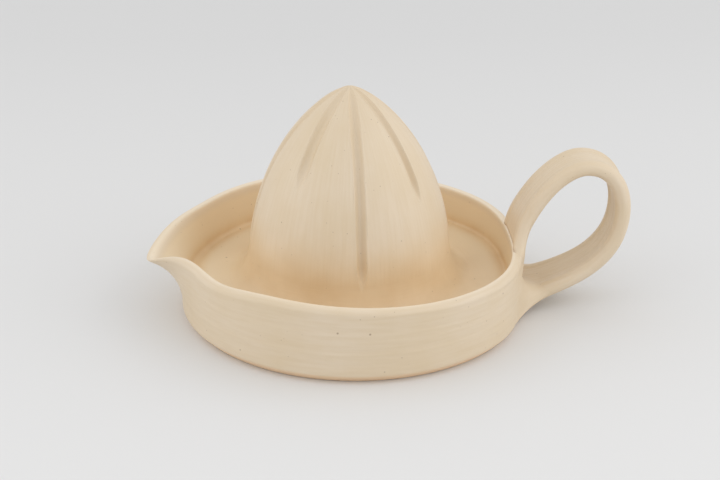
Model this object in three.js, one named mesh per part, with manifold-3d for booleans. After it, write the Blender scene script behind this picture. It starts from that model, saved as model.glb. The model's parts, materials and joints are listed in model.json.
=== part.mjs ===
import * as THREE from 'three';
import { mergeVertices } from 'three/addons/utils/BufferGeometryUtils.js';
import Module from 'manifold-3d';

// A hand-thrown stoneware citrus juicer: a shallow dish with a pulled pouring spout,
// a hollow fluted reamer standing in the dish, and a pulled strap handle opposite the spout.
// Millimetres, +Z up. The spout points along -X and the handle along +X.

// Thrown dish
const dishRadius = 65;
const wallThickness = 5.6;
const lipThickness = 4.4;
const rimHeight = 28.8;
const rimLean = 2.2;
const floorThickness = 7;
const coveRadius = 2.6;
const footHeight = 6.5;
const footWidth = 7;
const footBevel = 3;
const wellRadius = 24;

// Spout pulled out of the rim
const spoutReach = 14.35;
const spoutSpread = THREE.MathUtils.degToRad(15);
const spoutDroop = 10;
const spoutDroopSpread = THREE.MathUtils.degToRad(11);
const spoutRoot = 5;
const spoutCurl = 2;

// Flat pressed into the wall where the handle is joined
const handlePress = 3.5;
const handlePressSpread = THREE.MathUtils.degToRad(25);

// Reamer, an egg-shaped cone
const reamerRadius = 37.7;
const reamerHeight = 72.6;
const reamerWall = 5;
const reamerCrown = 6.5;
const reamerShift = -2;
const reamerBelly = 2.24;
const reamerPoint = 0.72;

// Flutes carved into the reamer, every second one short
const fluteCount = 8;
const fluteTurn = THREE.MathUtils.degToRad(3.3);
const fluteWidth = 5;
const fluteDepth = 2;
const longFluteEnd = 6;
const shortFluteEnd = 38;
const fluteFade = 9;
const fluteTipLand = 1;
const fluteTipFade = 6;
const fluteRoundness = 1.5;

// Coil of clay worked into the joint round the reamer's foot
const coilWidth = 8;
const coilHeight = 9;
const coilEdge = 0.5;

// Strap handle, pulled from one tapering strip. It rises from the rim and reaches out from the wall.
const strapThickness = 6;
const strapRootWidth = 24;
const strapBendWidth = 18;
const strapTailWidth = 27;
const handleRise = 28.8;
const handleTopOut = 23.2;
const handleReach = 37.65;
const handleReachRise = 11;
const handleTailZ = 4.6;
const handleRootLean = THREE.MathUtils.degToRad(4);
const handleTailSlope = THREE.MathUtils.degToRad(15.5);
const handleRootInset = 1.3;
const handleRootBite = 1.2;
const handleTailBite = 5.2;
const rootPull = 13.1;
const topPullIn = 9.8;
const topPullOut = 9.7;
const reachPullUp = 9.2;
const reachPullDown = 22.7;
const tailPull = 15.4;

// Wads of clay smoothed over the two handle joints
const upperWadBulge = 3;
const upperWadHalfWidth = 9.5;
const upperWadHalfHeight = 8;
const upperWadDrop = 3;
const lowerWadLength = 18;
const lowerWadRise = 3;
const lowerWadSpread = 12.5;
const wadEdge = 0.5;

// Joint clearance and glaze
const seatGap = 0.3;
const glazeRoughness = 0.55;
const dishColour = 0xddc7a5;
const reamerColour = 0xe2cdad;
const handleColour = 0xdfc9a8;
const joinColour = 0xd9c09b;

// Facets
const dishSegments = 96;
const wallSteps = 5;
const arcSteps = 3;
const segmentsPerFlute = 10;
const fluteCrowding = 0.65;
const reamerSteps = 16;
const hollowSteps = 6;
const coilSegments = 64;
const strapSteps = 32;
const lowerWadSteps = 10;
const sphereSegments = 20;
const weldDistance = 1e-4;

const floorTop = footHeight + floorThickness;
const footRadius = dishRadius - footBevel;
const wallInside = dishRadius - wallThickness;
const handleWallX = dishRadius - handlePress;
const rimAtHandle = rimHeight - rimLean;
const seatZ = floorTop + seatGap;
const { smoothstep, lerp } = THREE.MathUtils;

const wasm = await Module();
wasm.setup();

// A closed geometry as a solid, with shared corners welded and empty triangles dropped.
function toSolid(geometry) {
  const bare = geometry.clone();
  bare.deleteAttribute('normal');
  bare.deleteAttribute('uv');
  const welded = mergeVertices(bare, weldDistance);
  const corners = [];
  for (let first = 0; first < welded.index.count; first += 3) {
    const triangle = [0, 1, 2].map((step) => welded.index.getX(first + step));
    if (new Set(triangle).size === 3) {
      corners.push(...triangle);
    }
  }
  return new wasm.Manifold(new wasm.Mesh({
    numProp: 3,
    vertProperties: welded.attributes.position.array,
    triVerts: new Uint32Array(corners),
  }));
}

// A named mesh of a solid, in a glazed clay of the given colour.
function toMesh(name, solid, color) {
  const { vertProperties, triVerts } = solid.getMesh();
  const geometry = new THREE.BufferGeometry();
  geometry.setAttribute('position', new THREE.BufferAttribute(vertProperties, 3));
  geometry.setIndex(new THREE.BufferAttribute(triVerts, 1));
  geometry.computeVertexNormals();
  const material = new THREE.MeshStandardMaterial({ color, roughness: glazeRoughness, metalness: 0 });
  const mesh = new THREE.Mesh(geometry, material);
  mesh.name = name;
  return mesh;
}

// Moves every vertex of a geometry by a function of its place and its number.
function reshape(geometry, move) {
  const position = geometry.attributes.position;
  const vertex = new THREE.Vector3();
  for (let index = 0; index < position.count; index += 1) {
    vertex.fromBufferAttribute(position, index);
    move(vertex, index);
    position.setXYZ(index, vertex.x, vertex.y, vertex.z);
  }
  return geometry;
}

// A profile of radius and height turned round the Z axis, as on the wheel.
function turn(profile, segments) {
  return new THREE.LatheGeometry(profile, segments).rotateX(Math.PI / 2);
}

// The dish's section: foot ring, wall, round lip, inner wall, cove and floor, round to the well.
// A grown dish, larger by a clearance all over, is what cuts the seats of the pieces that join it.
function dishProfile(grow) {
  const lipCentreX = dishRadius - lipThickness / 2;
  const lipCentreZ = rimHeight - lipThickness / 2;
  const lipRound = lipThickness / 2 + grow;
  const outside = dishRadius + grow;
  const coveX = wallInside - coveRadius;
  const coveZ = floorTop + coveRadius;
  const footInside = footRadius - footWidth;
  const path = new THREE.Path();
  path.moveTo(wellRadius - grow, footHeight - grow);
  path.lineTo(footInside - grow, footHeight - grow);
  path.lineTo(footInside - grow, -grow);
  path.lineTo(footRadius + grow, -grow);
  for (let step = 0; step < wallSteps; step += 1) {
    path.lineTo(outside, lerp(footBevel, lipCentreZ, step / wallSteps));
  }
  path.absarc(lipCentreX, lipCentreZ, lipRound, 0, Math.PI, false);
  for (let step = 1; step < wallSteps; step += 1) {
    const down = step / wallSteps;
    path.lineTo(lerp(lipCentreX - lipRound, wallInside - grow, down), lerp(lipCentreZ, coveZ, down));
  }
  path.absarc(coveX, coveZ, coveRadius - grow, 0, -Math.PI / 2, true);
  path.lineTo(wellRadius - grow, floorTop + grow);
  path.closePath();
  return path.getPoints(arcSteps);
}

// How strongly an angle belongs to a soft hump of the given spread.
function hump(angle, spread) {
  return Math.exp(-((angle / spread) ** 2));
}

// The spout is pulled by hand: the wall leans out and its lip dips, most at the tip and at the rim.
// The rim also climbs a little towards the spout, and the wall is pressed flat for the handle.
function pullWall(vertex) {
  const radius = Math.hypot(vertex.x, vertex.y);
  const fromSpout = Math.atan2(vertex.y, -vertex.x);
  const fromHandle = Math.atan2(vertex.y, vertex.x);
  const climb = Math.max(vertex.z - spoutRoot, 0) / (rimHeight - spoutRoot);
  const rising = climb ** spoutCurl * smoothstep(radius, wallInside - coveRadius, wallInside);
  const pressed = smoothstep(radius, wellRadius, wallInside) * hump(fromHandle, handlePressSpread);
  const pulled = spoutReach * hump(fromSpout, spoutSpread) * rising;
  const stretch = 1 + (pulled - handlePress * pressed) / radius;
  vertex.x *= stretch;
  vertex.y *= stretch;
  vertex.z += (rimLean * Math.cos(fromSpout) - spoutDroop * hump(fromSpout, spoutDroopSpread)) * rising;
}

function dishSolid(grow) {
  return toSolid(reshape(turn(dishProfile(grow), dishSegments), pullWall));
}

// Radius of the egg-shaped cone at a share of its height.
function coneRadius(radius, share) {
  return radius * (1 - share ** reamerBelly) ** reamerPoint;
}

// Depth of a flute on the reamer's skin, at a height above its seat and an angle from the flute's
// centre line. It is a round-bottomed groove that fades out above the foot and below the tip.
function fluteCut(radius, angle, height, low) {
  const across = (2 * radius * angle) / fluteWidth;
  const fromTip = reamerHeight - height;
  const fade = smoothstep(height, low, low + fluteFade);
  const tip = smoothstep(fromTip, fluteTipLand, fluteTipLand + fluteTipFade);
  return fluteDepth * fade * tip * Math.exp(-fluteRoundness * across ** 2);
}

// The hollow reamer: its inside from the crown down, its foot, then its fluted skin up to the tip.
function reamerSolid() {
  const hollowRadius = reamerRadius - reamerWall;
  const hollowHeight = reamerHeight - reamerCrown;
  const profile = [];
  for (let step = hollowSteps; step >= 0; step -= 1) {
    const share = Math.sin((Math.PI / 2) * (step / hollowSteps));
    profile.push(new THREE.Vector2(coneRadius(hollowRadius, share), share * hollowHeight));
  }
  const skinStart = profile.length;
  for (let step = 0; step <= reamerSteps; step += 1) {
    const share = Math.sin((Math.PI / 2) * (step / reamerSteps));
    profile.push(new THREE.Vector2(coneRadius(reamerRadius, share), share * reamerHeight));
  }
  const sector = (2 * Math.PI) / fluteCount;
  const crowd = (vertex, index) => {
    const radius = Math.hypot(vertex.x, vertex.y);
    const even = Math.atan2(vertex.y, vertex.x);
    const angle = even - (fluteCrowding / fluteCount) * Math.sin(fluteCount * even);
    const flute = Math.round(angle / sector);
    const low = flute % 2 === 0 ? longFluteEnd : shortFluteEnd;
    const onSkin = index % profile.length >= skinStart;
    const cut = onSkin ? fluteCut(radius, angle - flute * sector, vertex.z, low) : 0;
    vertex.x = (radius - Math.min(cut, radius)) * Math.cos(angle);
    vertex.y = (radius - Math.min(cut, radius)) * Math.sin(angle);
  };
  return toSolid(reshape(turn(profile, fluteCount * segmentsPerFlute), crowd));
}

// A concave fillet of clay lying on the floor against the reamer's foot.
function coilSolid() {
  const foot = reamerRadius + seatGap;
  const shoulder = coneRadius(reamerRadius, coilHeight / reamerHeight) + seatGap;
  const path = new THREE.Path();
  path.moveTo(foot, 0);
  path.lineTo(foot + coilWidth, 0);
  path.lineTo(foot + coilWidth, coilEdge);
  path.quadraticCurveTo(foot + coilEdge, coilEdge, shoulder + coilEdge, coilHeight);
  path.lineTo(shoulder, coilHeight);
  path.closePath();
  return toSolid(turn(path.getPoints(arcSteps), coilSegments));
}

// The handle's centre line in the XZ plane: up off the lip, over the top, round the far bend and
// back down to the foot of the wall.
function handleLine() {
  const point = (x, z) => new THREE.Vector3(x, 0, z);
  const rootX = handleWallX - handleRootInset;
  const rootZ = rimAtHandle - handleRootBite;
  const topX = handleWallX + handleTopOut;
  const topZ = rimAtHandle + handleRise;
  const farX = handleWallX + handleReach;
  const farZ = rimAtHandle + handleReachRise;
  const tailRun = Math.cos(handleTailSlope);
  const tailRise = Math.sin(handleTailSlope);
  const line = new THREE.CurvePath();
  line.add(new THREE.CubicBezierCurve3(
    point(rootX, rootZ),
    point(rootX + rootPull * Math.sin(handleRootLean), rootZ + rootPull * Math.cos(handleRootLean)),
    point(topX - topPullIn, topZ),
    point(topX, topZ),
  ));
  line.add(new THREE.CubicBezierCurve3(
    point(topX, topZ),
    point(topX + topPullOut, topZ),
    point(farX, farZ + reachPullUp),
    point(farX, farZ),
  ));
  line.add(new THREE.CubicBezierCurve3(
    point(farX, farZ),
    point(farX, farZ - reachPullDown),
    point(handleWallX + tailPull * tailRun, handleTailZ + tailPull * tailRise),
    point(handleWallX - handleTailBite * tailRun, handleTailZ - handleTailBite * tailRise),
  ));
  return line;
}

// Width of the strap at a share of its length: widest at its two ends.
function strapWidth(along) {
  const end = along < 0.5 ? strapRootWidth : strapTailWidth;
  return lerp(strapBendWidth, end, (2 * along - 1) ** 2);
}

// A round-edged strip bent along the handle's centre line, from one share of its length to the end.
// At a share of its length it gains the skin all round, and the spread at each of its two edges.
function strapSolid(skin, spread, from, steps) {
  const line = handleLine();
  const section = new THREE.Shape();
  section.absarc(1, 0, 1, -Math.PI / 2, Math.PI / 2, false);
  section.absarc(-1, 0, 1, Math.PI / 2, (3 * Math.PI) / 2, false);
  const strip = new THREE.ExtrudeGeometry(section, {
    depth: 1,
    steps,
    curveSegments: 2 * arcSteps,
    bevelEnabled: false,
  });
  const bend = (vertex) => {
    const along = lerp(from, 1, vertex.z);
    const side = Math.sign(vertex.x);
    const half = strapThickness / 2 + skin(along);
    const flat = (strapWidth(along) - strapThickness) / 2 + spread(along);
    const across = side * flat + (vertex.x - side) * half;
    const out = vertex.y * half;
    const centre = line.getPointAt(along);
    const tangent = line.getTangentAt(along);
    vertex.set(centre.x - tangent.z * out, across, centre.z + tangent.x * out);
  };
  return toSolid(reshape(strip, bend));
}

// The two wads are pressed into the corners between the wall and the strap, so the dish and the
// strap are cut out of them. The upper one is a smear down the outside of the wall.
function upperWadSolid(dishCutter, strapCutter) {
  const ball = new THREE.SphereGeometry(1, sphereSegments, sphereSegments / 2);
  ball.scale(upperWadBulge, upperWadHalfWidth, upperWadHalfHeight);
  ball.translate(handleWallX, 0, rimAtHandle - upperWadDrop);
  return toSolid(ball).subtract(dishCutter).subtract(strapCutter);
}

// The lower wad is a collar on the strap that stops above the foot's bevel. Its edges sweep out onto
// the wall in a wide hollow curve, and its top rises a little where it meets the wall.
function lowerWadSolid(dishCutter, strapCutter) {
  const from = 1 - (lowerWadLength + handleTailBite) / handleLine().getLength();
  const sweep = (along) => 1 - Math.sqrt(1 - ((along - from) / (1 - from)) ** 2);
  const skin = (along) => lowerWadRise * sweep(along) + wadEdge + seatGap;
  const spread = (along) => lowerWadSpread * sweep(along);
  const above = new THREE.BoxGeometry(4 * dishRadius, 4 * dishRadius, 2 * dishRadius);
  above.translate(0, 0, footBevel + dishRadius);
  const collar = strapSolid(skin, spread, from, lowerWadSteps).intersect(toSolid(above));
  return collar.subtract(dishCutter).subtract(strapCutter);
}

const dishCutter = dishSolid(seatGap);
const none = () => 0;
const strapCutter = strapSolid(() => seatGap, none, 0, strapSteps);

const reamer = toMesh('reamer', reamerSolid(), reamerColour);
reamer.rotation.z = fluteTurn - Math.PI / 2;
reamer.position.set(reamerShift, 0, seatZ);

const reamerCoil = toMesh('reamer_coil', coilSolid(), joinColour);
reamerCoil.position.set(reamerShift, 0, seatZ);

const juicer = new THREE.Group();
juicer.add(toMesh('dish', dishSolid(0), dishColour));
juicer.add(reamer);
juicer.add(reamerCoil);
juicer.add(toMesh('handle', strapSolid(none, none, 0, strapSteps).subtract(dishCutter), handleColour));
juicer.add(toMesh('handle_upper_wad', upperWadSolid(dishCutter, strapCutter), joinColour));
juicer.add(toMesh('handle_lower_wad', lowerWadSolid(dishCutter, strapCutter), joinColour));

// The origin is under the middle of the whole juicer, on the table.
const reach = new THREE.Box3().setFromObject(juicer, true);
juicer.position.set(-(reach.min.x + reach.max.x) / 2, -(reach.min.y + reach.max.y) / 2, 0);

export default juicer;
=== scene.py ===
# %% [markdown]
# # A stoneware citrus juicer
# This lesson dresses a small thrown pot: a dish with a pulled spout, a fluted reamer and a strap
# handle. Every piece is a surface worked out with numpy, and one satin glaze runs over all of them.
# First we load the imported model. It is the fixed frame that every new piece has to fit.

# %% Load the frame
import json

import bpy
import numpy as np
from mathutils import Matrix, Vector


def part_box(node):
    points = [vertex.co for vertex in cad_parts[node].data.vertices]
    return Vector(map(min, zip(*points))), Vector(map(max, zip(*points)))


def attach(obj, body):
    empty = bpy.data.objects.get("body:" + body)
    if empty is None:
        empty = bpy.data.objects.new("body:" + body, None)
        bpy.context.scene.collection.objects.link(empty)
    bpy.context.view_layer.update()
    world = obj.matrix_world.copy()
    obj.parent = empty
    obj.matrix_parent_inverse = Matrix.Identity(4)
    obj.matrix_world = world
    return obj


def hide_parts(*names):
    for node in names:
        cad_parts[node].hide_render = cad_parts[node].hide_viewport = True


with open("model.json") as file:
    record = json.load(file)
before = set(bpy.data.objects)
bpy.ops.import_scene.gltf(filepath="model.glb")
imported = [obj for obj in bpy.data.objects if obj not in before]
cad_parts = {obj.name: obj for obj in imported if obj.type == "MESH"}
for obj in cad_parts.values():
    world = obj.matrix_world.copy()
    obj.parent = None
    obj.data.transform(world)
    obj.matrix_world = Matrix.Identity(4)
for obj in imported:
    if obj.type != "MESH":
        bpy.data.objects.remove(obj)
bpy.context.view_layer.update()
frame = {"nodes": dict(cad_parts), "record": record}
MM = 0.001
print("frame nodes:", sorted(frame["nodes"]))

# %% [markdown]
# A pot is centred on the wheel, so we want the wheel's axis before anything else. The dish stands
# on its foot ring, and the record keeps a point of that ring right in front of the axis. The widest
# part of the dish gives its radius.

# %% The wheel's axis
axis_x = frame["record"]["mounts"][0]["pos_m"][0] / MM
dish_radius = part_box("dish")[1][1] / MM
print(f"axis at x = {axis_x:.2f} mm, dish radius {dish_radius:.1f} mm")

# %% [markdown]
# All surfaces here are grids of points, rows by columns, in millimetres. A grid may wrap round in
# either direction, like a tube or a ring. This helper turns such a grid into a mesh object: whole
# index arrays make the four corners of each face, and `foreach_set` copies them without a loop.
# It also stores named numbers on the vertices, which the glaze reads later.

# %% A mesh from a grid
def grid_piece(name, points, wrap_rows=False, marks=None):
    """A mesh object from points[row, column] in mm: each face joins a grid cell's four corners.
    Columns always wrap round. Rows wrap if asked, and otherwise both ends are closed by one point."""
    rows, columns = points.shape[:2]
    number = np.arange(rows * columns).reshape(rows, columns)
    if wrap_rows:
        number = np.vstack([number, number[:1]])
    beside = np.roll(number, -1, axis=1)
    quads = np.stack([number[:-1], beside[:-1], beside[1:], number[1:]], axis=-1).reshape(-1, 4)
    vertices = points.reshape(-1, 3)
    faces = [quads]
    if not wrap_rows:
        first, last = len(vertices), len(vertices) + 1
        vertices = np.vstack([vertices, points[0].mean(axis=0), points[-1].mean(axis=0)])
        low_fan = np.stack([beside[0], number[0], np.full(columns, first)], axis=-1)
        high_fan = np.stack([number[-1], beside[-1], np.full(columns, last)], axis=-1)
        faces += [low_fan, high_fan]
    mesh = bpy.data.meshes.new(name)
    sizes = np.concatenate([np.full(len(f), f.shape[1]) for f in faces])
    corners = np.concatenate([f.ravel() for f in faces])
    mesh.vertices.add(len(vertices))
    mesh.vertices.foreach_set("co", (vertices * MM).astype(np.float32).ravel())
    mesh.loops.add(len(corners))
    mesh.loops.foreach_set("vertex_index", corners.astype(np.int32))
    mesh.polygons.add(len(sizes))
    starts = np.concatenate([[0], np.cumsum(sizes)[:-1]])
    mesh.polygons.foreach_set("loop_start", starts.astype(np.int32))
    mesh.polygons.foreach_set("use_smooth", np.ones(len(sizes), dtype=bool))
    mesh.update(calc_edges=True)
    mesh.validate()
    for mark, values in (marks or {}).items():
        values = values.reshape(rows, columns, -1)
        ends = [] if wrap_rows else [values[0].mean(axis=0), values[-1].mean(axis=0)]
        values = np.vstack([values.reshape(rows * columns, -1), *ends]).astype(np.float32)
        kind, field = ("FLOAT", "value") if values.shape[1] == 1 else ("FLOAT_VECTOR", "vector")
        layer = mesh.attributes.new(mark, kind, "POINT")
        layer.data.foreach_set(field, values.ravel())
    piece = bpy.data.objects.new(name, mesh)
    bpy.context.collection.objects.link(piece)
    print(f"{name}: {len(vertices)} vertices, {len(sizes)} faces")
    return piece


def smoothstep(value, low, high):
    """0 below low, 1 above high, and an S-shaped cubic between."""
    share = np.clip((value - low) / (high - low), 0, 1)
    return share * share * (3 - 2 * share)


def hump(angle, spread):
    """A soft bell: one at angle zero, falling off with the square of angle over spread."""
    return np.exp(-((angle / spread) ** 2))


# %% [markdown]
# A dish on the wheel is one outline turned round the axis. We draw the section as a polygon of a
# few corners and give each corner a radius, because clay has no sharp corners. Each corner becomes
# a true arc, and the straight runs between are cut into short steps so that they can bend later. A
# Screw modifier could turn the outline too, but points that we work out ourselves can still be bent.

# %% The dish's section
WALL = 4.5
LIP = 3.6
RIM = 28.8
FOOT_HEIGHT = 6.5
FOOT_WIDTH = 7.0
FOOT_BEVEL = 3.0
FLOOR_TOP = 13.5
WELL = 24.0
WELL_EDGE = 1.5
RECESS_COVE = 1.5
FOOT_INNER_EDGE = 1.0
FOOT_OUTER_EDGE = 0.7
BEVEL_EDGE = 1.6
LIP_EDGE = 2.3
LIP_INNER_EDGE = 0.65
COVE = 1.5
ARC_POINTS = 25
SECTION_STEP = 0.5


def rounded_outline(corners, radii, step):
    """A closed outline: each corner is an arc of its radius, tangent to its two sides, and all of it
    is sampled again at one even step. The last value is the distance along it to each arc's middle."""
    corners = np.asarray(corners, float)
    radii = np.asarray(radii, float)
    before = corners - np.roll(corners, 1, axis=0)
    before /= np.linalg.norm(before, axis=1, keepdims=True)
    after = np.roll(before, -1, axis=0)
    cross = before[:, 0] * after[:, 1] - before[:, 1] * after[:, 0]
    bend = np.arctan2(cross, (before * after).sum(axis=1))
    side = np.sign(bend)[:, None] * np.stack([-before[:, 1], before[:, 0]], axis=1)
    start = corners - before * (radii * np.tan(abs(bend) / 2))[:, None]
    swing = np.linspace(0, 1, ARC_POINTS)[None, :, None] * abs(bend)[:, None, None]
    swung = np.sin(swing) * before[:, None] + (1 - np.cos(swing)) * side[:, None]
    arcs = start[:, None] + radii[:, None, None] * swung
    path = np.vstack([arcs.reshape(-1, 2), arcs[0, :1]])
    along = np.concatenate([[0], np.cumsum(np.linalg.norm(np.diff(path, axis=0), axis=1))])
    even = np.linspace(0, along[-1], int(along[-1] / step), endpoint=False)
    outline = np.stack([np.interp(even, along, path[:, axis]) for axis in (0, 1)], axis=1)
    middles = along[:-1].reshape(len(corners), ARC_POINTS)[:, ARC_POINTS // 2]
    return outline, even, middles


foot_radius = dish_radius - FOOT_BEVEL
section_corners = np.array([
    (WELL, FOOT_HEIGHT, WELL_EDGE),
    (foot_radius - FOOT_WIDTH, FOOT_HEIGHT, RECESS_COVE),
    (foot_radius - FOOT_WIDTH, 0, FOOT_INNER_EDGE),
    (foot_radius, 0, FOOT_OUTER_EDGE),
    (dish_radius, FOOT_BEVEL, BEVEL_EDGE),
    (dish_radius, RIM, LIP_EDGE),
    (dish_radius - LIP, RIM, LIP_INNER_EDGE),
    (dish_radius - WALL, FLOOR_TOP, COVE),
    (WELL, FLOOR_TOP, WELL_EDGE),
])
section, section_run, corner_run = rounded_outline(
    section_corners[:, :2], section_corners[:, 2], SECTION_STEP
)
bevel_run, lip_outer_run, lip_inner_run, cove_run, well_run = corner_run[4:]
lip_run = (lip_outer_run + lip_inner_run) / 2
print(f"section: {len(section)} points over {section_run[-1]:.0f} mm, lip at {lip_run:.1f} mm")

# %% [markdown]
# The potter then pulls the spout: one finger draws the rim outwards while two others hold the wall
# back, so the rim reaches out, dips at its tip and keeps two small shoulders. We bend the turned
# surface with soft bells of the angle, stronger towards the rim. The wall is also pressed flat where
# the handle joins, and the fingers leave faint rings, all of them inwards so that the dish keeps its
# size. A spout modelled apart would leave a seam, and a bent grid leaves none.

# %% Pull the spout and add the hand's rings
SPOUT_REACH = 14.1
SPOUT_SPREAD = np.radians(15)
SPOUT_DROOP = 10.0
SPOUT_DROOP_SPREAD = np.radians(11)
SPOUT_ROOT = 5.0
SPOUT_CURL = 2.0
SHOULDER_DIP = 3.4
SHOULDER_AT = np.radians(-34)
SHOULDER_SPREAD = np.radians(16)
SIDE_DIP = 0.8
SIDE_FADE = 1.5
RIM_LEAN = 2.2
PRESS = 3.5
PRESS_SPREAD = np.radians(25)
RING_DEPTH = 0.14
RING_WAVES = [0.62, 0.41, 1.13]
RING_WANDER = 2.0
WIDE_RING = 1.4
RINGS_FROM_BEVEL = np.array([2.0, 5.0])
RINGS_FROM_LIP = np.array([-5.0, -3.0])


def pull_wall(radius, angle, height):
    """Radius grows by reach times a bell of the angle from the spout times the climb up the wall, and
    shrinks by the press at the handle. Height gains the rim's lean and loses the droop of the spout, of
    the one shoulder that the potter's thumb pressed lower and, a little, of the rim on that side."""
    from_spout = np.arctan2(np.sin(angle), -np.cos(angle))
    from_handle = np.arctan2(np.sin(angle), np.cos(angle))
    climb = np.maximum(height - SPOUT_ROOT, 0) / (RIM - SPOUT_ROOT)
    inside = dish_radius - WALL
    rising = climb**SPOUT_CURL * smoothstep(radius, inside - COVE, inside)
    pressed = smoothstep(radius, WELL, inside) * hump(from_handle, PRESS_SPREAD)
    out = SPOUT_REACH * hump(from_spout, SPOUT_SPREAD) * rising - PRESS * pressed
    droop = SPOUT_DROOP * hump(from_spout, SPOUT_DROOP_SPREAD)
    droop = droop + SHOULDER_DIP * hump(from_spout - SHOULDER_AT, SHOULDER_SPREAD)
    droop = droop + SIDE_DIP * np.maximum(-np.sin(from_spout), 0) ** SIDE_FADE
    return radius + out, height + (RIM_LEAN * np.cos(from_spout) - droop) * rising


def throwing_rings(run, angle):
    """Depth of the finger rings: a sum of three waves along the section, the first of which climbs with
    the angle as a spiral does, shifted by its own height so that it never rises above zero."""
    climbing, fine, wide = (run / wave for wave in RING_WAVES)
    waves = np.sin(climbing - angle) + np.sin(fine + RING_WANDER * np.sin(angle))
    waves = waves + WIDE_RING * np.sin(wide + np.cos(angle))
    highest = 2 + WIDE_RING
    return -RING_DEPTH * (waves + highest) / (2 * highest)


def dish_surface(angle, run):
    """A point of the dish in mm, from its angle round the axis and the distance along the section."""
    once_round = section_run[-1] + SECTION_STEP
    radius = np.interp(run, section_run, section[:, 0], period=once_round)
    height = np.interp(run, section_run, section[:, 1], period=once_round)
    above_foot = smoothstep(run, *(bevel_run + RINGS_FROM_BEVEL))
    below_lip = 1 - smoothstep(run, *(lip_run + RINGS_FROM_LIP))
    rings = throwing_rings(run, angle) * (above_foot * below_lip)
    radius, height = pull_wall(radius + rings, angle, height)
    return np.stack([axis_x + radius * np.cos(angle), radius * np.sin(angle), height], axis=-1)


# %% [markdown]
# Glaze does not lie evenly on a pot. It pools in corners and is wiped off the foot. Over it we paint
# light and shade: painted shade in the inner corner, warm painted bounce light over the floor, painted
# light that makes the inside lighter, and a painted highlight on the lip's inner edge, where the glaze
# also thins to a pale line. All of this follows the section, so we write it as numbers along the
# section's run and keep them on the vertices. The grain is a stretched copy of the place on the
# surface: noise that reads it comes out as streaks round the dish.

# %% The dish, its glaze and its painted light and shade
# The inner corner: gathered glaze and painted shade. The floor: gathered glaze and warm painted bounce
# light.
POOL_AND_SHADE_IN_CORNER = 1.0
POOL_AND_SHADE_SPREAD = 3.2
POOL_AND_BOUNCE_ON_FLOOR = 0.65
POOL_AND_BOUNCE_FROM_CORNER = np.array([3.0, 17.0])
# Painted light: how far inside the lip the dish starts to be painted lighter.
INSIDE_LIGHT_FROM_LIP = np.array([2.0, 6.0])
# The painted highlight on the lip's inner edge, where the glaze also thins pale.
EDGE_HIGHLIGHT_SPREAD = 1.5
BARE_TO_BEVEL = np.array([-0.6, 0.5])
BARE_FROM_WELL = np.array([-1.0, 0.0])
GRAIN_LENGTH = 14.0
DISH_SEGMENTS = 360


def dish_marks(run):
    """What the glaze and the painted light do at a distance along the section: gathered glaze and painted
    shade in the inner corner, gathered glaze and warm painted bounce light towards the reamer, painted
    light that makes the inside lighter, a pale painted highlight on the lip's inner edge where the glaze
    thins, and the glaze wiped off the foot and the underside."""
    # Gathered glaze and painted shade in the inner corner; gathered glaze and warm painted bounce light
    # over the floor.
    corner_pool_and_shade = POOL_AND_SHADE_IN_CORNER * hump(run - cove_run, POOL_AND_SHADE_SPREAD)
    floor_pool_and_bounce_light = POOL_AND_BOUNCE_ON_FLOOR * smoothstep(run, *(cove_run + POOL_AND_BOUNCE_FROM_CORNER))
    bare_foot = 1 - smoothstep(run, *(bevel_run + BARE_TO_BEVEL))
    bare_well = smoothstep(run, *(well_run + BARE_FROM_WELL))
    return {
        "pool_and_painted_light": corner_pool_and_shade + floor_pool_and_bounce_light,
        # Painted light: the inside of the dish lighter.
        "inside_painted_light": smoothstep(run, *(lip_run + INSIDE_LIGHT_FROM_LIP)),
        # A painted highlight on the lip's inner edge, where the glaze also thins.
        "edge": hump(run - lip_inner_run, EDGE_HIGHLIGHT_SPREAD),
        "bare": np.maximum(bare_foot, bare_well),
    }


dish_angle = np.linspace(0, 2 * np.pi, DISH_SEGMENTS, endpoint=False)
dish_run, dish_turn = np.meshgrid(section_run, dish_angle, indexing="ij")
dish_points = dish_surface(dish_turn, dish_run)
round_grain = np.concatenate([dish_points[..., :2] / GRAIN_LENGTH, dish_run[..., None]], axis=-1)
dish = grid_piece(
    "dish_thrown", dish_points, wrap_rows=True, marks={**dish_marks(dish_run), "grain": round_grain}
)
print(f"lowest point {dish_points[..., 2].min():.3f} mm")

# %% [markdown]
# The reamer is an egg-shaped cone, thrown hollow and set on the floor. Its flutes are carved with a
# round gouge when the clay is leather-hard: every second one is long. We write the depth of a flute
# as a parabola across its width with softened edges, faded out at both ends, and take it away from
# the radius. Boolean cuts could carve the flutes too, but they would leave a ragged mesh. The inside
# is a plain smooth egg, and the foot joins the two.

# %% The fluted reamer
REAMER_RADIUS = 37.7
REAMER_HEIGHT = 72.6
REAMER_WALL = 5.0
REAMER_CROWN = 6.5
REAMER_SHIFT = -2.0
BELLY = 2.24
POINT = 0.72
FLUTE_TURN = np.radians(3.3 - 90)
FLUTE_WIDTHS = [3.9, 3.5, 4.2, 4.0, 3.9, 3.8, 4.2, 4.8]
FLUTE_ENDS = [8.0, 34.0, 8.0, 38.0, 8.0, 36.0, 9.0, 40.0]
FLUTE_DEPTH = 2.0
FLUTE_EDGE = 0.06
FLUTE_FADE = 9.0
FLUTE_RUNOUT = 0.3
SECTOR_SHARE = 0.7
LEAST_HALF_WIDTH = 0.05
DEEPEST_CUT = 0.6
TIP_FADE = 7.0
BURR = 0.2
BURR_AT = 1.05
BURR_WIDTH = 0.14
SEAT_GAP = 0.3
FLUTES = len(FLUTE_ENDS)
seat = FLOOR_TOP + SEAT_GAP
reamer_x = axis_x + REAMER_SHIFT
sector = 2 * np.pi / FLUTES


def cone_radius(radius, share):
    """Radius of the egg at a share of its height: foot radius times (1 - share^belly)^point."""
    return radius * np.clip(1 - share**BELLY, 0, 1) ** POINT


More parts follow.
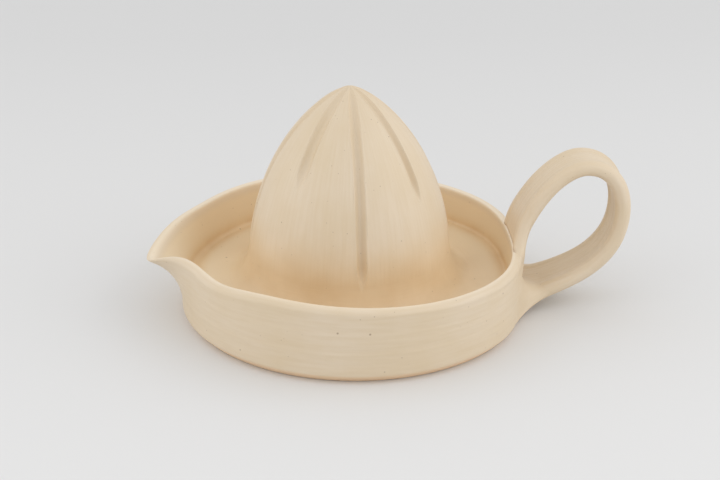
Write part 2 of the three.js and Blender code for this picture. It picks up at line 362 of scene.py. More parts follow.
def flute_depth(radius, angle, height):
    """Depth of the nearest flute: a parabola across its width, softened where it meets the skin by a
    smooth maximum, less a fine burr at each edge. It is narrower where the cone is narrow, runs out to
    a point at its lower end and fades at the tip."""
    flute = np.round(angle / sector)
    off = angle - flute * sector
    low = np.asarray(FLUTE_ENDS)[flute.astype(int) % FLUTES]
    wide = np.asarray(FLUTE_WIDTHS)[flute.astype(int) % FLUTES]
    fade = smoothstep(height, low, low + FLUTE_FADE)
    runout = FLUTE_RUNOUT + (1 - FLUTE_RUNOUT) * fade
    half = wide / 2 * np.tanh(SECTOR_SHARE * radius * sector / wide) * runout
    share = abs(radius * off) / np.maximum(half, LEAST_HALF_WIDTH)
    bowl = 1 - share**2
    bowl = (bowl + np.sqrt(bowl**2 + FLUTE_EDGE**2)) / 2
    carved = FLUTE_DEPTH * bowl - BURR * hump(share - BURR_AT, BURR_WIDTH)
    return carved * fade * np.tanh(radius / TIP_FADE)


def reamer_surface(angle, share):
    """A point of the fluted skin in mm, from the angle and the share of the height."""
    radius = cone_radius(REAMER_RADIUS, share)
    height = share * REAMER_HEIGHT
    radius = radius - np.minimum(flute_depth(radius, angle, height), DEEPEST_CUT * radius)
    turned = angle + FLUTE_TURN
    return np.stack([reamer_x + radius * np.cos(turned), radius * np.sin(turned), seat + height], axis=-1)


# %% [markdown]
# A flute is narrow, so an even grid would waste its points on the smooth skin between. We crowd the
# columns into the flutes, and the rows towards the tip, where the egg curves most. The glaze ran down
# while it was wet and gathered warm over the foot, and there we also paint shade from the near wall
# and warm bounce light from the floor.

# %% The reamer's grid, glaze and painted shade
ANGLE_CROWDING = 0.55
REAMER_SEGMENTS = 480
SKIN_ROWS = 130
HOLLOW_ROWS = 26
# Glaze gathered over the reamer's foot, with painted shade from the near wall and warm painted bounce
# light.
FOOT_POOL_AND_SHADE = 0.8
FOOT_POOL_AND_SHADE_FULL = 2.0
FOOT_POOL_AND_SHADE_TOP = 31.0


def crowded_angles(count):
    """Angles round the reamer, closer together in the flutes: even minus a sine of the flute count."""
    even = np.linspace(-np.pi, np.pi, count, endpoint=False)
    return even - ANGLE_CROWDING / FLUTES * np.sin(FLUTES * even)


def foot_pool_and_shade(height):
    """How warm and dark the reamer is at a height, from gathered glaze, painted shade and warm painted
    bounce light: full at the foot, none above the mark's top.
    """
    return FOOT_POOL_AND_SHADE * (1 - smoothstep(height, FOOT_POOL_AND_SHADE_FULL, FOOT_POOL_AND_SHADE_TOP))


reamer_angle = crowded_angles(REAMER_SEGMENTS)
skin_share = np.sin(np.linspace(0, np.pi / 2, SKIN_ROWS))[:-1]
hollow_share = np.sin(np.linspace(0, np.pi / 2, HOLLOW_ROWS))[-2::-1]
skin = reamer_surface(*np.broadcast_arrays(reamer_angle[None, :], skin_share[:, None]))
hollow_radius = cone_radius(REAMER_RADIUS - REAMER_WALL, hollow_share)[:, None]
hollow_turn = (reamer_angle + FLUTE_TURN)[None, :]
hollow_height = (seat + hollow_share * (REAMER_HEIGHT - REAMER_CROWN))[:, None]
hollow_out = hollow_radius * np.cos(hollow_turn)
hollow_aside = hollow_radius * np.sin(hollow_turn)
hollow = np.stack(np.broadcast_arrays(reamer_x + hollow_out, hollow_aside, hollow_height), axis=-1)
reamer_points = np.concatenate([hollow, skin])
reamer_height = reamer_points[..., 2] - seat
reamer_pool_and_shade = foot_pool_and_shade(reamer_height)
reamer_pool_and_shade[: len(hollow)] = 0
reamer_bare = np.zeros_like(reamer_pool_and_shade)
reamer_bare[: len(hollow)] = 1
round_x, round_y = REAMER_RADIUS * np.cos(reamer_angle), REAMER_RADIUS * np.sin(reamer_angle)
upright_grain = np.stack(np.broadcast_arrays(round_x, round_y, reamer_height / GRAIN_LENGTH), axis=-1)
reamer = grid_piece(
    "reamer_fluted", reamer_points,
    marks={"pool_and_painted_light": reamer_pool_and_shade, "bare": reamer_bare, "grain": upright_grain},
)

# %% [markdown]
# Where two pieces of clay meet, the potter works in a little more clay and rubs it smooth with a
# thumb. The thumb leaves a hollow curve that runs along one surface and ends along the other. We make
# it from two paths: one along the first surface down to the corner, one from the corner out along
# the second. Walked together as the sine and cosine of one swing, they add up to a quarter ellipse
# that touches both. A hidden pass under the skin closes it into a solid ring. Merging the meshes and
# smoothing them would blend them as well, but the pieces would no longer be pieces.

# %% A rubbed joint between two surfaces
JOINT_STEPS = 28
TUCK = 2.4
SINK = 0.3
DEEP = 0.8
PROUD = 0.4
swing = np.linspace(0, np.pi / 2, JOINT_STEPS)[:, None]
going_down = np.sin(swing)
going_out = 1 - np.cos(swing)
running_on = np.array([0.25, 0.5, 0.75, 1.0])[:, None]


def unit(vectors):
    """Each vector at a length of one."""
    return vectors / np.linalg.norm(vectors, axis=-1, keepdims=True)


def rubbed_joint(first, second, before, before_in, after, after_in):
    """A closed ring of clay. Its skin is the first path plus what the second has moved from the corner,
    a little proud of both between its ends. Before and after are the two surfaces further on, where it
    sinks with the square of the distance. A hidden pass leads back through the clay in the corner."""
    bulge = PROUD * (np.sin(swing) * np.cos(swing))[..., None]
    inward = np.cos(swing)[..., None] * before_in + np.sin(swing)[..., None] * after_in[0]
    skin = first + second - second[0] - bulge * inward
    sunk = running_on[..., None]
    before = before + SINK * sunk**2 * before_in
    after = after + SINK * sunk**2 * after_in
    deep_after = after[-1] + DEEP * after_in[-1]
    deep_corner = first[-1] + DEEP * (before_in + after_in[0])
    deep_before = before[-1] + DEEP * before_in
    return np.concatenate([before[::-1], skin, after, [deep_after, deep_corner, deep_before]])


# %% [markdown]
# The coil round the reamer's foot is the simplest joint: it comes down the reamer's skin and runs
# out over the floor. Its glaze, painted shade and painted light go from the reamer's to the floor's, so
# no edge is left to see.

# %% The coil round the reamer's foot
COIL_HEIGHT = 10.0
COIL_WIDTH = 7.5
COIL_INSIDE_LIGHT_FROM = 0.3


def coil_rows(height, width):
    """Rows of points on the reamer's skin at those heights, and on the floor at those distances out."""
    angle, height = np.broadcast_arrays(reamer_angle, height)
    skin_rows = reamer_surface(angle, height / REAMER_HEIGHT)
    skin_rows[..., 2] -= SEAT_GAP * np.clip(1 - height / COIL_HEIGHT, 0, 1)
    out = np.stack([np.cos(angle + FLUTE_TURN), np.sin(angle + FLUTE_TURN), 0 * angle], axis=-1)
    from_axis = (REAMER_RADIUS + width + 0 * angle)[..., None]
    floor_rows = out * from_axis + np.array([reamer_x, 0, FLOOR_TOP])
    return skin_rows, floor_rows, out


coil_first, coil_second, coil_out = coil_rows(COIL_HEIGHT * (1 - going_down), COIL_WIDTH * going_out)
coil_before, coil_after, _ = coil_rows(COIL_HEIGHT + TUCK * running_on, COIL_WIDTH + TUCK * running_on)
straight_down = np.broadcast_to([0, 0, -1.0], coil_after.shape)
coil_points = rubbed_joint(coil_first, coil_second, coil_before, -coil_out[0], coil_after, straight_down)
coil_from_axis = np.linalg.norm(coil_points[..., :2] - [reamer_x, 0], axis=-1)
coil_share = (coil_from_axis - REAMER_RADIUS) / COIL_WIDTH
coil_height = coil_points[..., 2] - seat
# Gathered glaze and painted shade from the reamer's foot blend into the floor's, and the painted light of
# the inside fades in towards the floor.
coil_pool_and_painted_light = foot_pool_and_shade(coil_height) + (POOL_AND_BOUNCE_ON_FLOOR - FOOT_POOL_AND_SHADE) * smoothstep(coil_share, 0, 1)
coil_inside_light = smoothstep(coil_share, COIL_INSIDE_LIGHT_FROM, 1)
coil_grain = np.concatenate([coil_points[..., :2] / GRAIN_LENGTH, coil_height[..., None]], axis=-1)
coil = grid_piece(
    "reamer_coil_rubbed", coil_points[::-1], wrap_rows=True,
    marks={"pool_and_painted_light": coil_pool_and_painted_light[::-1], "inside_painted_light": coil_inside_light[::-1], "grain": coil_grain[::-1]},
)

# %% [markdown]
# The handle is pulled: a wet strip drawn through the hand until it is long and flat, with round edges
# and faces that are dished a little by the thumb. It is then looped from the rim to the foot of the
# wall. A curve object with a bevel would keep one width, so we work out the centre line first and the
# strip's section after it. The line is three cubic curves. At the rim a straight lead runs on down
# into the wall, where only the joint will use it.

# %% The strap's centre line
HANDLE_RISE = 28.8
HANDLE_TOP_OUT = 23.2
HANDLE_REACH = 37.65
HANDLE_REACH_RISE = 11.0
TAIL_HEIGHT = 4.6
ROOT_LEAN = np.radians(4)
TAIL_SLOPE = np.radians(15.5)
ROOT_INSET = 1.3
ROOT_BITE = 1.2
ROOT_LEAD = 16.0
LEAD_LEAN = np.radians(12)
TAIL_BITE = 5.2
ROOT_PULL = 13.1
TOP_PULL = 9.75
REACH_PULL_UP = 9.2
REACH_PULL_DOWN = 22.7
TAIL_PULL = 15.4
CURVE_POINTS = 400
wall_x = axis_x + dish_radius - PRESS
rim_height = RIM - RIM_LEAN


def cubic(points, share):
    """A cubic curve through its first and last point, pulled towards the two between."""
    share = share[:, None]
    left = 1 - share
    a, b, c, d = np.asarray(points, float)
    return left**3 * a + 3 * left**2 * share * b + 3 * left * share**2 * c + share**3 * d


root = np.array([wall_x - ROOT_INSET, rim_height - ROOT_BITE])
top = np.array([wall_x + HANDLE_TOP_OUT, rim_height + HANDLE_RISE])
far = np.array([wall_x + HANDLE_REACH, rim_height + HANDLE_REACH_RISE])
tail_way = np.array([np.cos(TAIL_SLOPE), np.sin(TAIL_SLOPE)])
tail = np.array([wall_x, TAIL_HEIGHT])
root_way = np.array([np.sin(ROOT_LEAN), np.cos(ROOT_LEAN)])
lead_way = np.array([np.sin(LEAD_LEAN), np.cos(LEAD_LEAN)])
tail_pulled = tail + TAIL_PULL * tail_way
tail_end = tail - TAIL_BITE * tail_way
curve_share = np.linspace(0, 1, CURVE_POINTS)
handle_line = np.concatenate([
    [root - ROOT_LEAD * lead_way],
    cubic([root, root + ROOT_PULL * root_way, top - [TOP_PULL, 0], top], curve_share),
    cubic([top, top + [TOP_PULL, 0], far + [0, REACH_PULL_UP], far], curve_share)[1:],
    cubic([far, far - [0, REACH_PULL_DOWN], tail_pulled, tail_end], curve_share)[1:],
])
line_steps = np.linalg.norm(np.diff(handle_line, axis=0), axis=1)
line_run = np.concatenate([[0], np.cumsum(line_steps)]) - ROOT_LEAD
line_way = unit(np.gradient(handle_line, line_run, axis=0))
line_length = line_run[-1]
print(f"strap: {line_length:.0f} mm long")

# %% [markdown]
# A quarter of each turn round the strip goes to each edge and to each face. On an edge the point
# swings through half a circle. On a face it crosses from edge to edge, and the face is dished, with
# a low ridge beside each edge. Faint lines along the strip are what the wet fingers leave.

# %% The strap handle
STRAP_THICKNESS = 6.0
ROOT_THINNING = 1.8
THINNING_LENGTH = 9.0
ROOT_WIDTH = 24.0
BEND_WIDTH = 18.0
TAIL_WIDTH = 27.0
DISHED = 0.5
DISH_SHARPNESS = 6
RIDGE = 0.25
RIDGE_AT = 0.88
RIDGE_WIDTH = 0.06
PULL_LINE = 0.09
WIDE_LINES = 2.3
FINE_LINES = 3.7
LINE_WANDER = 1.1
WANDER_LENGTH = 23.0
DRIFT_LENGTH = 31.0
LINES_FROM = 2.0
LINES_FULL = 16.0
STRAP_ROWS = 240
STRAP_SEGMENTS = 144
FACE_APART = 5.0
QUARTERS = np.array([0, 1, 3, 5, 7, 8]) * np.pi / 4
EDGE_SWING = np.array([0, 1, 1, 3, 3, 4]) * np.pi / 2
FACE_CROSSING = np.array([1, 1, -1, -1, 1, 1])


def strap_surface(run, turn):
    """A point of the strap in mm: the centre line at that distance plus the strip's section, square to
    it. Turn 0 is the middle of the back edge, and a quarter turn is the middle of the outer face."""
    x = np.interp(run, line_run, handle_line[:, 0])
    z = np.interp(run, line_run, handle_line[:, 1])
    way_x = np.interp(run, line_run, line_way[:, 0])
    way_z = np.interp(run, line_run, line_way[:, 1])
    share = np.clip(run / line_length, 0, 1)
    end = np.where(share < 0.5, ROOT_WIDTH, TAIL_WIDTH)
    width = BEND_WIDTH + (end - BEND_WIDTH) * (2 * share - 1) ** 2
    thick = STRAP_THICKNESS - ROOT_THINNING * hump(np.maximum(run, 0), THINNING_LENGTH)
    swung = np.interp(turn, QUARTERS, EDGE_SWING)
    crossed = np.interp(turn, QUARTERS, FACE_CROSSING)
    across = (width - thick) / 2 * crossed + thick / 2 * np.cos(swung)
    wide_lines = np.sin(across * WIDE_LINES + LINE_WANDER * np.sin(run / WANDER_LENGTH))
    lines = wide_lines + np.sin(across * FINE_LINES + run / DRIFT_LENGTH)
    dished = DISHED * (1 - crossed**DISH_SHARPNESS)
    pulled = PULL_LINE * (1 + lines / 2) * smoothstep(run, LINES_FROM, LINES_FULL)
    hollow = dished + pulled - RIDGE * hump(abs(crossed) - RIDGE_AT, RIDGE_WIDTH)
    out = (thick / 2 - hollow) * np.sin(swung)
    return np.stack([x - way_z * out, across, z + way_x * out], axis=-1)


strap_run, strap_turn = np.meshgrid(
    np.linspace(0, line_length, STRAP_ROWS),
    np.linspace(0, 2 * np.pi, STRAP_SEGMENTS, endpoint=False),
    indexing="ij",
)
strap_points = strap_surface(strap_run, strap_turn)
strap_side = FACE_APART * np.sin(strap_turn)
strap_grain = np.stack([strap_run / GRAIN_LENGTH, strap_points[..., 1], strap_side], axis=-1)
strap = grid_piece("handle_strap", strap_points, marks={"grain": strap_grain})

# %% [markdown]
# At both ends the strip is pressed on and its clay is rubbed out over the wall. Each line along the
# strap enters the dish somewhere. From that corner one path leads back up the strap and another over
# the dish, in the dish's own angle and run, so that the joint lies on the clay at both ends.

# %% Where the strap enters the dish
JOINT_SEGMENTS = 192
DISH_TRIES = 600
TRY_BELOW_BEVEL = 4.0
TRY_PAST_LIP = 3.0
joint_turn = np.linspace(0, 2 * np.pi, JOINT_SEGMENTS, endpoint=False)


def strap_enters(runs):
    """The first place on each line along the strap, walked in the order of the runs, that is under the
    rim and inside the wall: its run on the strap, and its angle and run on the dish."""
    walked, turn = np.meshgrid(runs, joint_turn, indexing="ij")
    place = strap_surface(walked, turn)
    angle = np.arctan2(place[..., 1], place[..., 0] - axis_x)
    wall, rim = pull_wall(np.full_like(angle, dish_radius), angle, np.full_like(angle, RIM))
    from_axis = np.hypot(place[..., 0] - axis_x, place[..., 1])
    beyond = from_axis - wall + np.maximum(FOOT_BEVEL - place[..., 2], 0)
    clear = np.maximum(beyond, place[..., 2] - rim)
    row = np.argmax(clear < 0, axis=0)
    column = np.arange(len(joint_turn))
    over, under = clear[row - 1, column], clear[row, column]
    step = walked[row, column] - walked[row - 1, column]
    at = walked[row - 1, column] + step * over / (over - under)
    corner = strap_surface(at, joint_turn)
    angle = np.arctan2(corner[:, 1], corner[:, 0] - axis_x)
    tried = np.linspace(bevel_run - TRY_BELOW_BEVEL, lip_run + TRY_PAST_LIP, DISH_TRIES)
    tries, turned = np.meshgrid(tried, angle, indexing="ij")
    nearest = np.argmin(np.linalg.norm(dish_surface(turned, tries) - corner, axis=-1), axis=0)
    return at, angle, tries[nearest, column]


# %% [markdown]
# The joint itself needs to know which way the clay lies, so that it can sink its ends and hide its
# closing pass. The cross product of a surface's two tangents gives that direction.

# %% A joint between strap and dish
STRAP_NUDGE = (-0.2, 0.02)
DISH_NUDGE = (0.003, 0.2)
# Painted shade in the joint's open crease: where it starts and where it is full, as a share of the way onto
# the dish.
CREASE_SHADE_FROM = 0.7
CREASE_SHADE_FULL = 0.95


def into_clay(surface, first, second, first_step, second_step):
    """The direction into the clay: the cross product of a surface's two tangents."""
    here = surface(first, second)
    along_first = surface(first + first_step, second) - here
    along_second = surface(first, second + second_step) - here
    return unit(np.cross(along_second, along_first))


def handle_joint(name, runs, strap_reach, angle_reach, run_reach, crease):
    """The rubbed joint whose paths go strap_reach mm back along the strap and, on the dish, angle_reach
    mm round the wall and run_reach mm along its section. The run on the dish stays above its foot. The
    last argument is painted shade: how dark the corner itself stays."""
    at, angle, dish_at = strap_enters(runs)
    to_strap = np.sign(runs[0] - runs[-1])
    dish_reach = np.hypot(angle_reach, run_reach)

    def on_strap(distance):
        return strap_surface(*np.broadcast_arrays(at + to_strap * distance, joint_turn))

    def on_dish(distance):
        share = distance / dish_reach
        run = np.maximum(dish_at + run_reach * share, bevel_run - FOOT_BEVEL)
        return angle + angle_reach / dish_radius * share, run

    first = on_strap(strap_reach * (1 - going_down))
    before = on_strap(strap_reach + TUCK * running_on)
    second = dish_surface(*on_dish(dish_reach * going_out))
    after_at = on_dish(dish_reach + TUCK * running_on)
    before_in = into_clay(strap_surface, at + to_strap * strap_reach, joint_turn, *STRAP_NUDGE)
    after_in = into_clay(dish_surface, *after_at, *DISH_NUDGE)
    points = rubbed_joint(first, second, before, before_in, dish_surface(*after_at), after_in)
    row = np.arange(len(points))[:, None]
    side = FACE_APART * np.sin(joint_turn)
    grain = np.stack(np.broadcast_arrays(row / GRAIN_LENGTH, first[-1, :, 1], side), axis=-1)
    spread = np.clip((row - len(running_on)) / JOINT_STEPS, 0, 1)
    dish_below = dish_marks(on_dish(dish_reach * spread)[1])
    marks = {mark: values * spread for mark, values in dish_below.items()}
    marks.update(grain=grain, crease=crease * smoothstep(spread, CREASE_SHADE_FROM, CREASE_SHADE_FULL))
    if runs[0] > runs[-1]:
        points = points[::-1]
        marks = {mark: values[::-1] for mark, values in marks.items()}
    return grid_piece(name, points, wrap_rows=True, marks=marks)


# %% [markdown]
# At the rim the clay is rubbed down the outside of the wall and round both edges of the strap, while
# inside the dish a crease stays open along the lip. At the foot the clay is smeared down and out, so
# the edges sweep out most near the table, and the corner on top of the strap stays tight.

# %% The two handle joints
UPPER_UP = 14.0
UPPER_EDGE = 6.0
UPPER_BACK_EDGE = 1.5
UPPER_DOWN = 12.0
UPPER_OPEN = 0.3
UPPER_CREASE_SHADE = 0.6
CREASE_SHADE_FACING = 0.4
UPPER_SEARCH = 14.0
LOWER_BACK = 12.0
LOWER_EDGE = 15.0
LOWER_FACE = 1.5
LOWER_LIFT = 12.0
LOWER_SMEAR = 3.0
LIFT_FROM = -0.2
LOWER_SEARCH = 24.0
SEARCH_STEPS = 500
joint_crossing = np.interp(joint_turn, QUARTERS, FACE_CROSSING)
joint_facing = np.sin(np.interp(joint_turn, QUARTERS, EDGE_SWING))
upper_joint = handle_joint(
    "handle_upper_rubbed",
    np.linspace(UPPER_SEARCH, -ROOT_LEAD, SEARCH_STEPS),
    UPPER_UP,
    np.where(joint_crossing < 0, UPPER_EDGE, UPPER_BACK_EDGE) * joint_crossing,
    UPPER_OPEN * np.maximum(joint_facing, 0) - UPPER_DOWN * np.maximum(-joint_facing, 0),
    # Painted shade keeps the open crease along the lip dark.
    UPPER_CREASE_SHADE * smoothstep(joint_facing, CREASE_SHADE_FACING, 1),
)
joint_front = smoothstep(-joint_crossing, LIFT_FROM, 1) * np.maximum(-joint_facing, 0)
lower_joint = handle_joint(
    "handle_lower_rubbed",
    np.linspace(line_length - LOWER_SEARCH, line_length, SEARCH_STEPS),
    LOWER_BACK + LOWER_SMEAR * joint_facing,
    (LOWER_EDGE + LOWER_SMEAR * joint_facing) * joint_crossing,
    -LOWER_FACE * joint_facing + LOWER_LIFT * joint_front,
    0 * joint_facing,
)

# %% [markdown]
# Now the finish. The pot is buff stoneware under a cream satin-matte glaze. A satin glaze is full of
# tiny crystals, so it has a soft, wide highlight: the index of refraction of glass, about 1.5, and a
# roughness near 0.45. Iron in the clay melts through as small brown specks. Glaze runs thick and warm
# in hollows, thin and pale over edges, and the foot is wiped clean so that it won't stick to the kiln.
# Over the glaze we paint light and shade: painted shade in hollows and in the handle's crease, warm
# painted bounce light over the floor and the reamer's foot, a lighter inside, and a painted highlight
# on the lip.

# %% Colours and a node helper
def linear(colour):
    """An sRGB hex colour as linear red, green, blue and alpha."""
    channels = np.array([int(colour[i : i + 2], 16) for i in (1, 3, 5)]) / 255
    straight = np.where(channels <= 0.04045, channels / 12.92, ((channels + 0.055) / 1.055) ** 2.4)
    return (*straight, 1.0)


def add(tree, kind, settings=None, links=None):
    """A node of a kind, its settings written to sockets or properties, and its links by socket name."""
    node = tree.nodes.new(kind)
    for key, value in (settings or {}).items():
        if isinstance(key, int) or key in node.inputs:
            node.inputs[key].default_value = value
        else:
            setattr(node, key, value)
    for key, source in (links or {}).items():
        tree.links.new(source, node.inputs[key])
    return node


# %% [markdown]
# The glaze is laid on in the order in which the eye finds it: the cream with its clouds and streaks,
# then what the marks on the vertices add, which is gathered glaze with painted light and shade, then the
# specks, the painted shade in the crease and the bare clay. A painted image would need seams, and noise
# in the object's own space needs none. Every scale comes from a real size. The fine pits are really
# smaller, but they are drawn at 2 mm so that they still show.

# %% The satin glaze
MIX_SHARE, MIX_A, MIX_B, MIX_OUT = 0, 6, 7, 2
CLOUD_SIZE = 0.018
PIT_SIZE = 0.0022
STREAK_MM = 1.1
# Specks: how far apart in metres, how wide as a share of that, and how strongly they show.
SPECKS = [
    {"apart": 0.0055, "widest": 0.08, "strength": 0.55},
    {"apart": 0.0024, "widest": 0.11, "strength": 0.4},
]


def satin_glaze(name):
    """Cream satin glaze on speckled stoneware: mottled, lighter inside in painted light, warm in hollows
    with gathered glaze and painted shade, pale with a painted highlight on the lip, dark in painted shade
    at the joint's open fold, bare below.
    """
    material = bpy.data.materials.new(name)
    material.use_nodes = True
    tree = material.node_tree
    shader = tree.nodes["Principled BSDF"]
    place = add(tree, "ShaderNodeTexCoord").outputs["Object"]
    pool_and_painted_light_mark, bare_mark, edge_highlight_mark, inside_painted_light_mark, crease_mark = (
        add(tree, "ShaderNodeAttribute", {"attribute_name": mark}).outputs["Fac"]
        for mark in ("pool_and_painted_light", "bare", "edge", "inside_painted_light", "crease")
    )
    grain = add(tree, "ShaderNodeAttribute", {"attribute_name": "grain"}).outputs["Vector"]

    # Clouds in the glaze.
    clouds = add(tree, "ShaderNodeTexNoise", {"Scale": 1 / CLOUD_SIZE, "Detail": 3.0}, {"Vector": place})
    cloud_share = add(
        tree, "ShaderNodeMapRange", {"From Min": 0.3, "From Max": 0.7}, {"Value": clouds.outputs["Fac"]}
    )
    cream = add(
        tree, "ShaderNodeMix", {"data_type": "RGBA", MIX_A: linear("#DFCEB6"), MIX_B: linear("#DBC8AB")},
        {MIX_SHARE: cloud_share.outputs["Result"]},
    )

    # Streaks that the fingers draw out along each piece. The grain is in millimetres.
    streaks = add(tree, "ShaderNodeTexNoise", {"Scale": 1 / STREAK_MM, "Detail": 2.0}, {"Vector": grain})
    streak_share = add(
        tree, "ShaderNodeMapRange", {"From Min": 0.4, "From Max": 0.75, "To Max": 0.42},
        {"Value": streaks.outputs["Fac"]},
    )
    streaked = add(
        tree, "ShaderNodeMix", {"data_type": "RGBA", MIX_B: linear("#D5C09F")},
        {MIX_SHARE: streak_share.outputs["Result"], MIX_A: cream.outputs[MIX_OUT]},
    )
    # Painted light: the inside of the dish lighter, as light from above and bounced between its walls makes
    # it.
    inside_lightened = add(
        tree, "ShaderNodeMix", {"data_type": "RGBA", MIX_B: linear("#E8D4B3")},
        {MIX_SHARE: inside_painted_light_mark, MIX_A: streaked.outputs[MIX_OUT]},
    )
    # Glaze gathered in hollows, with painted shade in the inner corner and at the reamer's foot, and warm
    # painted bounce light over the floor.
    warm = add(
        tree, "ShaderNodeMix", {"data_type": "RGBA", MIX_A: linear("#E6CCA4"), MIX_B: linear("#DBBC90")},
        {MIX_SHARE: cloud_share.outputs["Result"]},
    )
    pool_and_painted_light_mixed = add(
        tree, "ShaderNodeMix", {"data_type": "RGBA"},
        {MIX_SHARE: pool_and_painted_light_mark, MIX_A: inside_lightened.outputs[MIX_OUT], MIX_B: warm.outputs[MIX_OUT]},
    )
    # A painted highlight on the lip's inner edge, where the glaze also thins pale.
    edge_highlighted = add(
        tree, "ShaderNodeMix", {"data_type": "RGBA", MIX_B: linear("#EFE0C8")},
        {MIX_SHARE: edge_highlight_mark, MIX_A: pool_and_painted_light_mixed.outputs[MIX_OUT]},
    )

    # Iron specks: a few of up to 0.9 mm across, and many of up to 0.5 mm that only just show.
    speckled = edge_highlighted.outputs[MIX_OUT]
    for kind in SPECKS:
        cells = add(tree, "ShaderNodeTexVoronoi", {"Scale": 1 / kind["apart"]}, {"Vector": place})
        chance = add(tree, "ShaderNodeSeparateColor", None, {"Color": cells.outputs["Color"]})
        size = add(
            tree, "ShaderNodeMapRange", {"From Min": 0.35, "From Max": 1.0, "To Max": kind["widest"]},
            {"Value": chance.outputs["Red"]},
        )
        inside = add(
            tree, "ShaderNodeMath", {"operation": "SUBTRACT"},
            {0: size.outputs["Result"], 1: cells.outputs["Distance"]},
        )
        speck = add(
            tree, "ShaderNodeMapRange", {"From Min": -0.01, "From Max": 0.03, "To Max": kind["strength"]},
            {"Value": inside.outputs["Value"]},
        )
        speckled = add(
            tree, "ShaderNodeMix", {"data_type": "RGBA", MIX_B: linear("#7C5F42")},
            {MIX_SHARE: speck.outputs["Result"], MIX_A: speckled},
        ).outputs[MIX_OUT]
    # Painted shade: the open crease at the handle's upper joint kept dark.
    creased = add(
        tree, "ShaderNodeMix", {"data_type": "RGBA", MIX_B: linear("#A07A4E")},
        {MIX_SHARE: crease_mark, MIX_A: speckled},
    )
    footed = add(
        tree, "ShaderNodeMix", {"data_type": "RGBA", MIX_B: linear("#EACDAB")},
        {MIX_SHARE: bare_mark, MIX_A: creased.outputs[MIX_OUT]},
    )
    tree.links.new(footed.outputs[MIX_OUT], shader.inputs["Base Color"])

    # Roughness of the satin surface, and of the dry clay where it is bare. Then the pits and streaks
    # as fine relief.
    fine = add(tree, "ShaderNodeTexNoise", {"Scale": 1 / PIT_SIZE, "Detail": 2.0}, {"Vector": place})
    satin = add(
        tree, "ShaderNodeMapRange", {"To Min": 0.40, "To Max": 0.52}, {"Value": fine.outputs["Fac"]}
    )
    dry = add(
        tree, "ShaderNodeMix", {"data_type": "FLOAT", 3: 0.85}, {0: bare_mark, 2: satin.outputs["Result"]}
    )
    tree.links.new(dry.outputs[0], shader.inputs["Roughness"])
    shader.inputs["IOR"].default_value = 1.5
    pitted = add(
        tree, "ShaderNodeBump", {"Strength": 0.25, "Distance": 0.00012}, {"Height": fine.outputs["Fac"]}
    )
    drawn = add(
        tree, "ShaderNodeBump", {"Strength": 0.3, "Distance": 0.0002},
        {"Height": streaks.outputs["Fac"], "Normal": pitted.outputs["Normal"]},
    )
    tree.links.new(drawn.outputs["Normal"], shader.inputs["Normal"])
    return material


glaze = satin_glaze("cream_satin_glaze_on_stoneware")
print("glaze nodes:", len(glaze.node_tree.nodes))

# %% [markdown]
# Each new piece takes the place of its imported solid and rides on the only body there is. The record
# keeps one finish for the dish, one for the reamer and one for the handle. The table lists them, but
# every piece is given the one glaze.

# %% Put the pieces in the frame
for piece, node, finish in [
    (dish, "dish", "dish_glaze"),
    (reamer, "reamer", "reamer_glaze"),
    (coil, "reamer_coil", "dish_glaze"),
    (strap, "handle", "handle_glaze"),
    (upper_joint, "handle_upper_wad", "handle_glaze"),
    (lower_joint, "handle_lower_wad", "handle_glaze"),
]:
    piece.data.materials.append(glaze)
    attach(piece, "root")
    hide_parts(node)
    print(f"{piece.name} takes the place of {node}")

# %% [markdown]
# The stage is a plain pale floor, wide enough to fill the view. Its paper is painted a little darker
# towards the back: painted shade, where less light reaches it.

# %% The paper floor
FLOOR_HALF = 4.0
# Where the painted shade on the paper starts and where it is full, in metres along the floor.
BACK_SHADE_FROM = -0.2
BACK_SHADE_TO = 0.35
floor_corners = FLOOR_HALF * np.array([(-1, -1, 0), (1, -1, 0), (1, 1, 0), (-1, 1, 0)])
floor_mesh = bpy.data.meshes.new("floor")
floor_mesh.from_pydata(floor_corners.tolist(), [], [(0, 1, 2, 3)])
floor = bpy.data.objects.new("floor", floor_mesh)
bpy.context.collection.objects.link(floor)
paper = bpy.data.materials.new("white_paper_shaded_to_back")
paper.use_nodes = True
paper_tree = paper.node_tree
paper_shader = paper_tree.nodes["Principled BSDF"]
paper_place = add(paper_tree, "ShaderNodeTexCoord").outputs["Object"]
paper_depth = add(paper_tree, "ShaderNodeSeparateXYZ", None, {"Vector": paper_place}).outputs["Y"]
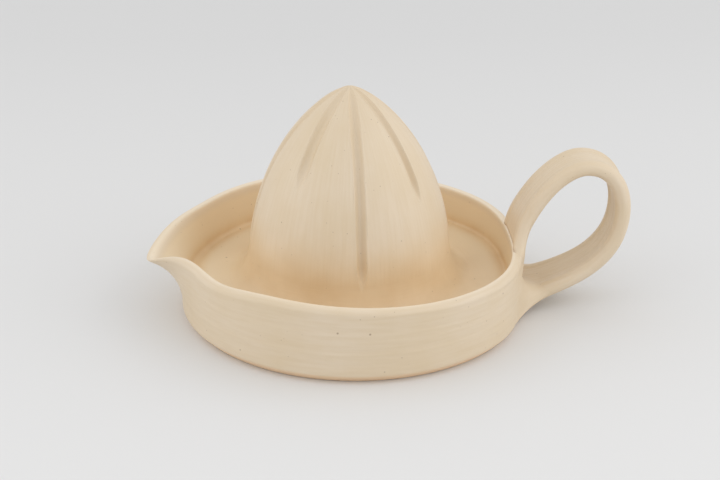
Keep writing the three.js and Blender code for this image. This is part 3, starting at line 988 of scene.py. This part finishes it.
# Painted shade: the paper darker towards the back.
back_shade_share = add(
    paper_tree, "ShaderNodeMapRange", {"From Min": BACK_SHADE_FROM, "From Max": BACK_SHADE_TO}, {"Value": paper_depth}
)
paper_with_back_shade = add(
    paper_tree, "ShaderNodeMix",
    {"data_type": "RGBA", MIX_A: linear("#E3E3E3"), MIX_B: linear("#D7D7D7")},
    {MIX_SHARE: back_shade_share.outputs["Result"]},
)
paper_tree.links.new(paper_with_back_shade.outputs[MIX_OUT], paper_shader.inputs["Base Color"])
paper_shader.inputs["Roughness"].default_value = 0.9
floor_mesh.materials.append(paper)
print(f"floor: {2 * FLOOR_HALF:.0f} m square")

# %% [markdown]
# Two large soft lights stand at the sides under a pale sky, the right one a little stronger. Large
# lights give the soft double shading of a photographer's tent, and no shadow has a hard edge.

# %% Light
SOFTBOX_SIZE = 1.1
LIGHT_AIM = Vector((0, 0, 0.04))


def softbox(name, place, power):
    """A square area lamp, turned to face the juicer from a place in metres, with its power in watts."""
    lamp = bpy.data.lights.new(name, "AREA")
    lamp.size = SOFTBOX_SIZE
    lamp.energy = power
    box = bpy.data.objects.new(name, lamp)
    box.location = place
    box.rotation_euler = (LIGHT_AIM - Vector(place)).to_track_quat("-Z", "Y").to_euler()
    bpy.context.collection.objects.link(box)
    print(f"{name}: {power} W")


softbox("right_softbox", (0.88, -0.22, 0.5), 3.2)
softbox("left_softbox", (-0.85, -0.15, 0.5), 2.1)
world = bpy.data.worlds.new("pale_tent")
world.use_nodes = True
sky = world.node_tree.nodes["Background"]
sky.inputs["Color"].default_value = linear("#F2F2F2")
sky.inputs["Strength"].default_value = 0.96
bpy.context.scene.world = world
bpy.context.scene.view_settings.view_transform = "Standard"

# %% [markdown]
# The camera looks down at the juicer from about 24 degrees with a long lens, as a product
# photographer would, with the handle to the right.

# %% Camera
CAMERA_PLACE = Vector((-0.04842, -0.54590, 0.26751))
CAMERA_WAY = Vector((0.06381, 0.91252, -0.40402))
CAMERA_ROLL = np.radians(0.3)
camera_data = bpy.data.cameras.new("camera")
camera_data.sensor_width = 36
camera_data.lens = 80
camera = bpy.data.objects.new("camera", camera_data)
turned = CAMERA_WAY.to_track_quat("-Z", "Y").to_matrix() @ Matrix.Rotation(CAMERA_ROLL, 3, "Z")
camera.matrix_world = Matrix.Translation(CAMERA_PLACE) @ turned.to_4x4()
bpy.context.collection.objects.link(camera)
bpy.context.scene.camera = camera
print(f"camera: {CAMERA_PLACE.length:.2f} m away, {camera_data.lens:.0f} mm lens")
